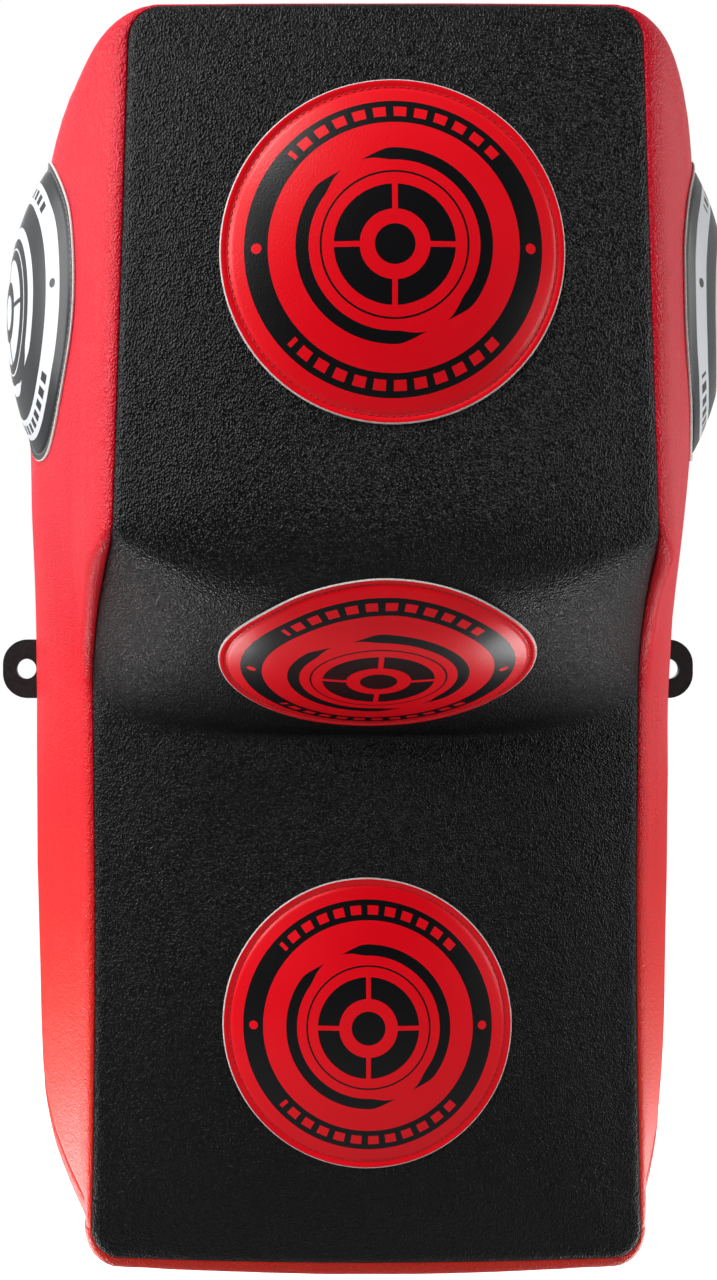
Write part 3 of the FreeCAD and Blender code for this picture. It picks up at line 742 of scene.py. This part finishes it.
def plywood_material():
    """Pale plywood with long grain."""
    material, tree, shader = tree_of("plywood")
    rings = texture(tree, "Noise", 14, stretch=(9, 9, 0.6), Detail=8.0, Distortion=0.8)
    fibres = texture(tree, "Noise", 500, stretch=(1, 1, 0.04), Detail=3.0)
    fine = maths(tree, "MULTIPLY", fibres.outputs["Fac"], 0.25)
    share = maths(tree, "MULTIPLY_ADD", rings.outputs["Fac"], 0.8, fine)
    colour = ramp(tree, share, [(0.3, (0.38, 0.23, 0.11)), (0.75, (0.66, 0.47, 0.27))])
    tree.links.new(colour, shader.inputs["Base Color"])
    shader.inputs["Roughness"].default_value = 0.7
    bump(tree, shader, share, 0.3, 0.0006)
    return material


black_cover = coated_fabric(
    "black_cover", (0.0025, 0.0025, 0.003), (0.0045, 0.0045, 0.0055), 0.34, 0.0010, 1.0, 0.24
)[0]
red_cover = red_cover_material()
red_target = disc_material("red_target", (0.95, 0.001, 0.010), (0.004, 0.004, 0.005), 0.34)
grey_target = disc_material("grey_target", (0.022, 0.024, 0.027), (0.70, 0.72, 0.75), 0.36)
cut_edge = simple_material("disc_cut_edge", (0.55, 0.5, 0.48), (0.85, 0.82, 0.8), 0.8, scale=900, bumps=0.6)
thread = {"rough": 0.55, "scale": 1500, "bumps": 0.4}
red_thread = simple_material("red_thread", (0.4, 0.004, 0.01), (0.62, 0.03, 0.04), **thread)
grey_thread = simple_material("grey_thread", (0.1, 0.1, 0.1), (0.3, 0.3, 0.3), **thread)
black_backing = woven_material()
plywood = plywood_material()
black_steel = simple_material(
    "black_steel", (0.006, 0.006, 0.007), (0.014, 0.014, 0.015), 0.42, scale=220, bumps=0.25
)
black_screws = simple_material(
    "black_screws", (0.015, 0.015, 0.016), (0.04, 0.04, 0.042), 0.4, metal=0.8, scale=500
)
zinc_steel = simple_material("zinc_steel", (0.45, 0.46, 0.47), (0.65, 0.66, 0.67), 0.32, metal=1.0, scale=300)
foam_bumps = {"bumps": 0.8, "depth": 0.001}
firm_foam = simple_material("firm_foam", (0.5, 0.48, 0.42), (0.72, 0.7, 0.62), 0.9, scale=350, **foam_bumps)
soft_foam = simple_material("soft_foam", (0.66, 0.66, 0.6), (0.86, 0.85, 0.78), 0.9, scale=500, **foam_bumps)


# ------------------------ cover pieces
def face_piece():
    """The black panel over the head's face, the chin and the body's face."""
    obj = new_object("front_cover", face, quads(*face.shape[:2]))
    thicken(obj, LINEN_THICK)
    return finish_piece(obj, black_cover, ["front_panel"])


def band_part(name, start, stop, node):
    """One red panel of the band, between two places along the outline, with its hem at the back."""
    columns = np.arange(start, stop + 1) % band.shape[1]
    part = band[:, columns].copy()
    centre = np.array([0.0, 0.0, (TOP_REACHES[-1] - BOTTOM_REACHES[-1]) / 2])
    inward = centre - part[-1]
    inward[:, 1] = 0
    inward /= np.linalg.norm(inward, axis=1, keepdims=True)
    hem = []
    for share in np.linspace(0.15, 1, 7):
        row = part[-1] + inward * HEM_WIDTH * share
        row[:, 1] = -REAR_OUT + HEM_SETTLE - HEM_ROLL * (1 - share) ** 3
        hem.append(row)
    part = np.concatenate([part, np.array(hem)])
    depth = path_length(part)
    from_end = np.minimum(np.arange(len(columns)), np.arange(len(columns))[::-1])[None, :]
    groove = BAND_SEAM * np.exp(-from_end / 0.8) * np.minimum(depth / 0.01, 1)
    part += normals(part) * groove[..., None]
    obj = new_object(name, part, quads(*part.shape[:2], flip=True))
    thicken(obj, LINEN_THICK)
    return finish_piece(obj, red_cover, [node])


face_piece()
band_part("right_side_cover", LOW_CORNER, HIGH_CORNER, "right_side_panel")
band_part("top_cover", HIGH_CORNER, ROUND - HIGH_CORNER, "top_panel")
band_part("left_side_cover", ROUND - HIGH_CORNER, ROUND - LOW_CORNER, "left_side_panel")
band_part("bottom_cover", ROUND - LOW_CORNER, ROUND + LOW_CORNER, "bottom_panel")


# ------------------------ foam under the cover
FOAM_INSET = 0.0045


def foam_piece(name, nodes, material, planes):
    """The cover's form drawn in a little, cut to the part of it that the planes leave."""
    work = bmesh.new()
    work.from_mesh(cover_base.data)
    bmesh.ops.recalc_face_normals(work, faces=work.faces)
    work.normal_update()
    for vertex in work.verts:
        vertex.co -= vertex.normal * FOAM_INSET
    for point, direction in planes:
        geometry = work.verts[:] + work.edges[:] + work.faces[:]
        made = bmesh.ops.bisect_plane(
            work, geom=geometry, plane_co=point, plane_no=direction, clear_outer=True, dist=0.00001
        )
        edges = [e for e in made["geom_cut"] if isinstance(e, bmesh.types.BMEdge)]
        bmesh.ops.holes_fill(work, edges=edges, sides=0)
    mesh = bpy.data.meshes.new(name)
    work.to_mesh(mesh)
    work.free()
    return finish_piece(placed(name, mesh), material, nodes)


UP, DOWN = Vector((0, 0, 1)), Vector((0, 0, -1))
TO_WALL, TO_FRONT = Vector((0, 1, 0)), Vector((0, -1, 0))
slab_back = (Vector((0, slab_high.y, 0)), TO_WALL)
slab_front = Vector((0, slab_low.y, 0))
body_split = Vector((0, body_layer_high.y, 0))
head_split = Vector((0, head_layer_high.y, 0))
chin_ceiling = Vector((0, 0, CHIN_TOP))
chin_floor = Vector((0, 0, CHIN_BOTTOM))
foam_piece("rear_foam", ["rear_foam_slab"], firm_foam, [slab_back, (slab_front, TO_FRONT)])
foam_piece("body_foam", ["body_foam_block"], firm_foam,
           [(slab_front, TO_WALL), (body_split, TO_FRONT), (chin_floor, UP)])
foam_piece("body_soft_layer", ["body_impact_layer"], soft_foam,
           [(body_split, TO_WALL), (chin_floor, UP)])
foam_piece("chin_foam", ["chin_foam_block"], firm_foam,
           [(slab_front, TO_WALL), (chin_floor, DOWN), (chin_ceiling, UP)])
foam_piece("head_foam", ["head_foam_block"], firm_foam,
           [(slab_front, TO_WALL), (head_split, TO_FRONT), (chin_ceiling, DOWN)])
foam_piece("head_soft_layer", ["head_impact_layer"], soft_foam,
           [(head_split, TO_WALL), (chin_ceiling, DOWN)])
bpy.data.objects.remove(cover_base)


# ------------------------ discs
def caster(points, faces, start, direction):
    """Where a line from a start point meets a surface: a function of the start point."""
    tree = BVHTree.FromPolygons([Vector(p) for p in points.reshape(-1, 3)], [list(f) for f in faces])

    def cast(offset):
        hit = tree.ray_cast(start + offset, direction)[0]
        return hit if hit is not None else start + offset
    return cast


face_cast = caster(face, quads(*face.shape[:2]), Vector((0, -1, 0)), Vector((0, 1, 0)))
band_quads = quads(*band.shape[:2], closed=True, flip=True)


def front_ground(node):
    """The face's surface round the middle of a CAD disc, in disc coordinates."""
    low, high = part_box(node)
    x, z = (low.x + high.x) / 2, (low.z + high.z) / 2
    return lambda a, b: face_cast(Vector((x + a, 0, z + b)))


FLANK_LEAN = math.radians(18)  # between the head's flank and the pad's middle plane


def side_ground(node, way):
    """The head's flank round the middle of a CAD disc, on the left (way -1) or on the right (way 1)."""
    low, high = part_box(node)
    radius = (high.z - low.z) / 2
    front_x = low.x if way > 0 else -high.x
    x = front_x + radius * math.sin(FLANK_LEAN)
    y = high.y - radius * math.cos(FLANK_LEAN)
    middle = Vector((way * x, y, (low.z + high.z) / 2))
    outward = Vector((way * math.cos(FLANK_LEAN), -math.sin(FLANK_LEAN), 0))
    along = Vector((math.sin(FLANK_LEAN), way * math.cos(FLANK_LEAN), 0))
    cast = caster(band, band_quads, middle + outward * 0.1, -outward)
    return lambda a, b: cast(along * a + Vector((0, 0, b)))


CHIN_REACH = 0.106  # the patch of slope that is looked up reaches this far each way
CHIN_CELLS = 64


CHIN_DISC_PLACE = 0.575  # share of the way up the slope to the chin disc's middle
CHIN_DISC_TALL = 0.76  # the chin disc's height along the slope, as a share of its width


def chin_ground():
    """The chin's slope, with b measured along the slope and scaled to the disc's height."""
    first = N_CORNER + 12
    rows = face[first:]
    middle_row = N_CORNER + N_BODY + int(N_CHIN * CHIN_DISC_PLACE) - first
    reaches = np.linspace(-CHIN_REACH, CHIN_REACH, CHIN_CELLS)
    table = np.zeros((CHIN_CELLS, CHIN_CELLS, 3))
    for column, x in enumerate(reaches):
        y = np.array([np.interp(x, row[:, 0], row[:, 1]) for row in rows])
        z = np.array([np.interp(x, row[:, 0], row[:, 2]) for row in rows])
        length = np.concatenate([[0], np.cumsum(np.hypot(np.diff(y), np.diff(z)))])
        wanted = length[middle_row] + reaches * CHIN_DISC_TALL
        table[column, :, 0] = x
        table[column, :, 1] = np.interp(wanted, length, y)
        table[column, :, 2] = np.interp(wanted, length, z)

    def ground(a, b):
        i = (a + CHIN_REACH) / (2 * CHIN_REACH) * (CHIN_CELLS - 1)
        j = (b + CHIN_REACH) / (2 * CHIN_REACH) * (CHIN_CELLS - 1)
        i0, j0 = min(int(i), CHIN_CELLS - 2), min(int(j), CHIN_CELLS - 2)
        s, t = i - i0, j - j0
        low = table[i0, j0] * (1 - s) + table[i0 + 1, j0] * s
        high = table[i0, j0 + 1] * (1 - s) + table[i0 + 1, j0 + 1] * s
        return Vector(low * (1 - t) + high * t)
    return ground


DISC_RADIUS = 0.100
DISC_TURNS = 128
STITCH_AT = 0.954
DISC_THICK = 0.0018
DOME_EDGE = 0.945  # share of the radius where the dome ends and the flat rim starts
STITCH_DEPTH = 0.0009
NO_GAP = 0.0001  # keeps an underside just off the panel


def dome_height(share, dome):
    """Height of the disc's top above the panel, at a share of its radius."""
    inner = min(share / DOME_EDGE, 1)
    rise = dome * (1 - inner ** 2.2)
    stitched = STITCH_DEPTH * math.exp(-((share - STITCH_AT) / 0.014) ** 2)
    return DISC_THICK + rise - stitched


def disc_frame(ground, share, angle):
    """Ground point and its normal, at a share of the radius and an angle."""
    a, b = DISC_RADIUS * share * math.cos(angle), DISC_RADIUS * share * math.sin(angle)
    step = 0.006
    point = ground(a, b)
    right = ground(a + step, b) - ground(a - step, b)
    up = ground(a, b + step) - ground(a, b - step)
    return point, right.cross(up).normalized()


def disc_rings(ground, rings):
    """Points of a polar mesh: one ring for each share and height, and the UV of each point."""
    points, places = [], []
    for share, height in rings:
        for turn in range(DISC_TURNS):
            angle = 2 * math.pi * turn / DISC_TURNS
            point, normal = disc_frame(ground, share, angle)
            points.append(point + normal * height)
            places.append((share * math.cos(angle), share * math.sin(angle)))
    return points, places


def polar_object(name, ground, rings):
    """A closed polar mesh through the rings, whose first and last are small and filled."""
    points, places = disc_rings(ground, rings)
    count = len(rings)
    faces = [tuple(q) for q in quads(count, DISC_TURNS, closed=True)]
    faces.append(tuple(range(DISC_TURNS))[::-1])
    faces.append(tuple(range((count - 1) * DISC_TURNS, count * DISC_TURNS)))
    obj = new_object(name, points, faces)
    face_outwards(obj.data)
    layer = obj.data.uv_layers.new(name="disc")
    for loop in obj.data.loops:
        layer.data[loop.index].uv = places[loop.vertex_index]
    return obj


def disc(name, node, ground, dome, material, slot, thread):
    """One stitched disc: its domed top, cut edge and underside, its stitches and the foam under it."""
    shares = list(np.linspace(0.012, 0.9, 26)) + list(np.linspace(0.91, 0.992, 12))
    top = [(share, dome_height(share, dome)) for share in shares]
    edge = [(0.9985, DISC_THICK * 0.85), (1.001, DISC_THICK * 0.45), (0.9985, NO_GAP)]
    under = [(share, max(dome_height(share, dome) - DISC_THICK, NO_GAP)) for share in shares[::-1]]
    obj = polar_object(name, ground, top + edge + under)
    finish_piece(obj, [material, cut_edge], [node])
    rim = range((len(top) - 1) * DISC_TURNS, (len(top) + 2) * DISC_TURNS)
    for number in rim:
        obj.data.polygons[number].material_index = 1

    foam_shares = [share for share in shares if share < 0.93]
    foam_top = [(share, max(dome_height(share, dome) - DISC_THICK - 0.0005, 0.0002)) for share in foam_shares]
    foam_under = [(share, NO_GAP) for share in foam_shares[::-1]]
    foam = polar_object(name + "_foam", ground, foam_top + foam_under)
    finish_piece(foam, soft_foam, [node + "_pad"])
    stitches(name + "_stitches", ground, dome, thread)


STITCH_COUNT = 132
STITCH_SHARE = 0.74  # of the pitch
THREAD_RADIUS = 0.00042


def stitches(name, ground, dome, material):
    """A ring of lock stitches: short threads that come up out of the disc and go down again."""
    points, faces = [], []
    pitch = 2 * math.pi / STITCH_COUNT
    height = dome_height(STITCH_AT, dome)
    sections, sides = 6, 6
    for number in range(STITCH_COUNT):
        start = len(points)
        for cut in range(sections):
            share = cut / (sections - 1)
            angle = pitch * (number + (share - 0.5) * STITCH_SHARE)
            point, normal = disc_frame(ground, STITCH_AT, angle)
            radial = (point - ground(0, 0)).normalized()
            radial = (radial - normal * radial.dot(normal)).normalized()
            rise = height - 0.0003 + 0.0006 * math.sin(math.pi * share)
            for side in range(sides):
                bend = 2 * math.pi * side / sides
                offset = radial * math.cos(bend) + normal * math.sin(bend)
                points.append(tuple(point + normal * rise + offset * THREAD_RADIUS))
        for quad in quads(sections, sides, closed=True):
            faces.append(tuple(quad + start))
        faces.append(tuple(range(start, start + sides)))
        faces.append(tuple(range(start + (sections - 1) * sides, start + sections * sides))[::-1])
    obj = new_object(name, points, faces)
    return finish_piece(obj, material)


red_look = (red_target, "red_target", red_thread)
grey_look = (grey_target, "grey_target", grey_thread)
disc("head_disc", "head_target", front_ground("head_target"), 0.0125, *red_look)
disc("body_disc", "body_target", front_ground("body_target"), 0.0125, *red_look)
disc("chin_disc", "chin_target", chin_ground(), 0.009, *red_look)
disc("left_disc", "left_head_target", side_ground("left_head_target", -1), 0.019, *grey_look)
disc("right_disc", "right_head_target", side_ground("right_head_target", 1), 0.019, *grey_look)


# ------------------------ back cloth
def rounded_reach(x, z, half, low, high, radius):
    """Distance inside a rounded rectangle's edge, negative outside."""
    middle = (low + high) / 2
    over_x = abs(x) - (half - radius)
    over_z = abs(z - middle) - ((high - low) / 2 - radius)
    outside = math.hypot(max(over_x, 0), max(over_z, 0))
    return radius - outside - min(max(over_x, over_z), 0)


def back_cloth():
    """Black cloth over the back: folded under at its edge, and pulled flat where the staples hold it."""
    half = BACK_HALF - REAR_TUCK - HEM_WIDTH + HEM_OVERLAP
    low = -BOTTOM_REACHES[-1] + HEM_WIDTH - HEM_OVERLAP
    high = TOP_REACHES[-1] - HEM_WIDTH + HEM_OVERLAP
    radius = BACK_CORNER - HEM_WIDTH
    middle = (low + high) / 2
    turns, rings = 300, 46
    points = []
    for ring in range(rings):
        share = ring / (rings - 1)
        share = 1 - (1 - share) ** 1.6
        for turn in range(turns):
            angle = 2 * math.pi * turn / turns
            dx, dz = math.cos(angle), math.sin(angle)
            reach = 1.0
            while rounded_reach(dx * reach, middle + dz * reach, half, low, high, radius) < 0:
                reach -= 0.002
            x, z = dx * reach * max(share, 0.002), middle + dz * reach * max(share, 0.002)
            inside = rounded_reach(x, z, half, low, high, radius)
            held = math.exp(-((inside - 0.012) / 0.010) ** 2)
            away_from_bar = min(max((abs(z) - 0.030) / 0.03, 0), 1)
            broad = noise.noise(Vector((x / 0.09, z / 0.09, 2.0)))
            waves = broad + 0.5 * noise.noise(Vector((x / 0.03, z / 0.03, 7.0)))
            loose = (0.0011 + 0.0012 * waves) * (1 - held) * away_from_bar
            fold = 0.0009 * min(max((0.012 - inside) / 0.004, 0), 1)
            points.append((x, -REAR_OUT + max(loose, -0.0005) + fold * away_from_bar * 0.6 + 0.0001, z))
    faces = [tuple(q) for q in quads(rings, turns, closed=True)]
    faces.append(tuple(range(turns)))
    obj = new_object("back_cloth", points, faces)
    work = bmesh.new()
    work.from_mesh(obj.data)
    for polygon in work.faces:
        if polygon.normal.y < 0:
            polygon.normal_flip()
    work.to_mesh(obj.data)
    work.free()
    thicken(obj, 0.0009)
    return finish_piece(obj, black_backing, ["back_panel"])


back_cloth()

# ------------------------ CAD nodes that stay
for node, material in (
    ("mounting_bar", black_steel),
    ("bar_screws", black_screws),
    ("tee_nuts", zinc_steel),
    ("staples", zinc_steel),
    ("back_board", plywood),
):
    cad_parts[node].data.materials.clear()
    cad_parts[node].data.materials.append(material)

# ------------------------ floor, light and camera
FLOOR_GAP = 0.6


def make_floor():
    """A plain pale floor."""
    half = 9.0
    level = cad_box[0].z - FLOOR_GAP
    corners = [(-half, -half, level), (half, -half, level), (half, half, level), (-half, half, level)]
    obj = new_object("floor", corners, [(0, 1, 2, 3)], smooth=False)
    material, tree, shader = tree_of("floor")
    ray = tree.nodes.new("ShaderNodeLightPath")
    seen = ray.outputs["Is Camera Ray"]
    tree.links.new(mix(tree, seen, (0.3, 0.3, 0.3), (0.93, 0.93, 0.93)), shader.inputs["Base Color"])
    shader.inputs["Roughness"].default_value = 0.9
    shader.inputs["Emission Color"].default_value = (1, 1, 1, 1)
    tree.links.new(maths(tree, "MULTIPLY", seen, 0.85), shader.inputs["Emission Strength"])
    obj.data.materials.append(material)


def area_light(name, place, target, size, power):
    """A soft rectangular light, aimed at a target."""
    light = bpy.data.lights.new(name, "AREA")
    light.shape = "RECTANGLE"
    light.size, light.size_y = size
    light.energy = power
    obj = placed(name, light)
    obj.location = place
    obj.rotation_euler = (Vector(target) - Vector(place)).to_track_quat("-Z", "Y").to_euler()
    obj.visible_camera = False


def make_world():
    """Nearly white to look at, and a soft even light."""
    world = bpy.data.worlds.new("studio")
    world.use_nodes = True
    nodes, links = world.node_tree.nodes, world.node_tree.links
    backdrop = nodes["Background"]
    backdrop.inputs["Color"].default_value = (1, 1, 1, 1)
    backdrop.inputs["Strength"].default_value = 1.0
    lighting = nodes.new("ShaderNodeBackground")
    lighting.inputs["Color"].default_value = (1, 1, 1, 1)
    place = nodes.new("ShaderNodeTexCoord")
    parts = nodes.new("ShaderNodeSeparateXYZ")
    links.new(place.outputs["Generated"], parts.inputs[0])
    spread = nodes.new("ShaderNodeMapRange")
    spread.interpolation_type = "SMOOTHSTEP"
    links.new(parts.outputs["Y"], spread.inputs["Value"])
    for key, value in (("From Min", -0.8), ("From Max", 0.6), ("To Min", 0.02), ("To Max", 0.5)):
        spread.inputs[key].default_value = value
    links.new(spread.outputs["Result"], lighting.inputs["Strength"])
    ray = nodes.new("ShaderNodeLightPath")
    both = nodes.new("ShaderNodeMixShader")
    links.new(ray.outputs["Is Camera Ray"], both.inputs[0])
    links.new(lighting.outputs[0], both.inputs[1])
    links.new(backdrop.outputs[0], both.inputs[2])
    links.new(both.outputs[0], nodes["World Output"].inputs["Surface"])
    bpy.context.scene.world = world


def make_camera():
    """Level, a little to the left of the pad's middle, square to the wall."""
    data = bpy.data.cameras.new("camera")
    data.lens = 35
    data.shift_x = 0.073
    data.shift_y = 0.0078
    camera = placed("camera", data)
    camera.location = (-0.0706, -1.0655, 0.016)
    camera.rotation_euler = (math.pi / 2, 0, 0)
    bpy.context.scene.camera = camera


make_floor()
make_world()
make_camera()
area_light("left_light", (-2.2, -0.35, 0.7), (0, -0.2, 0.1), (1.2, 2.0), 38)
area_light("right_light", (2.2, -0.35, 0.4), (0, -0.2, 0), (1.0, 2.0), 22)
area_light("top_light", (-0.9, -1.2, 1.7), (0, -0.25, 0.3), (0.7, 0.7), 20)
area_light("front_left_light", (-2.1, -1.7, 1.2), (0, -0.2, 0), (0.8, 0.8), 26)
area_light("front_right_light", (2.3, -1.6, 0.1), (0, -0.2, 0), (0.8, 0.8), 11)
area_light("low_left_light", (-0.62, 0.05, -0.72), (-0.15, -0.25, 0.0), (0.45, 0.45), 5.5)
area_light("low_right_light", (0.62, 0.05, -0.72), (0.15, -0.25, 0.0), (0.45, 0.45), 4.5)
area_light("back_light", (0, 2.4, 1.2), (0, 0, 0), (2.5, 1.5), 20)
bpy.context.scene.view_settings.view_transform = "Standard"
